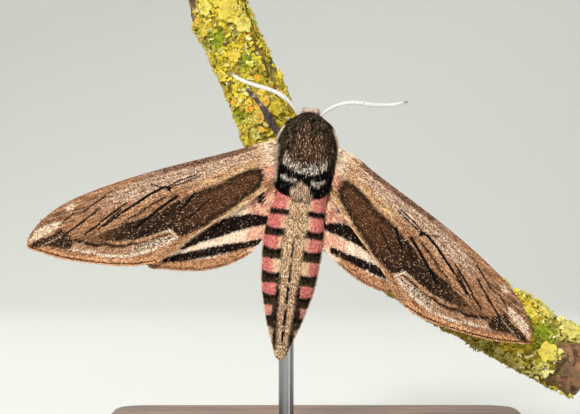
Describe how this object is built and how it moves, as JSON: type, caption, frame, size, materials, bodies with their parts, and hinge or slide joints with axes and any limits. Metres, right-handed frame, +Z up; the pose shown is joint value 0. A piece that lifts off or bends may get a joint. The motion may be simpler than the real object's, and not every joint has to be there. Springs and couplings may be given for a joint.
{
  "type": "privet hawk moth",
  "caption": "Life-size privet hawk moth with spread wings on a cut length of lichened branch, held by a rod on a flat display base.",
  "frame": {"origin": "centre of the base's underside", "axes": "+Z up, the moth's back faces -Y, its right wing points to +X"},
  "size_m": [0.1131, 0.058, 0.092],
  "materials": {
    "dark_fur": "dense dark brown scales and hair, speckled, with white side lines and a grey-white rear fringe",
    "banded_fur": "pink and black bands of short hair beside a tan back stripe with a fine dark mid line",
    "eye": "dark, glossy compound eye",
    "palp_fur": "pale beige scales",
    "tongue": "brown horn-like coiled tube",
    "feeler": "white scales on top, fine brown rings below",
    "forewing": "beige and brown scales with a dark wedge and black streaks",
    "hindwing": "pinkish cream scales with black bands and an orange-brown margin",
    "leg": "dark grey-brown scales",
    "bark": "rough bark under yellow and green lichen",
    "base_wood": "satin varnished wood",
    "rod_steel": "satin steel"
  },
  "bodies": {
    "root": {"abdomen": "banded_fur", "branch": "bark", "eye_left": "eye", "eye_right": "eye", "feeler_left": "feeler", "feeler_right": "feeler", "foreleg_left": "leg", "foreleg_right": "leg", "forewing_left": "forewing", "forewing_right": "forewing", "head": "dark_fur", "hindleg_left": "leg", "hindleg_right": "leg", "hindwing_left": "hindwing", "hindwing_right": "hindwing", "midleg_left": "leg", "midleg_right": "leg", "palp_left": "palp_fur", "palp_right": "palp_fur", "stand_base": "base_wood", "stand_rod": "rod_steel", "thorax": "dark_fur", "tongue": "tongue"}
  },
  "joints": []
}
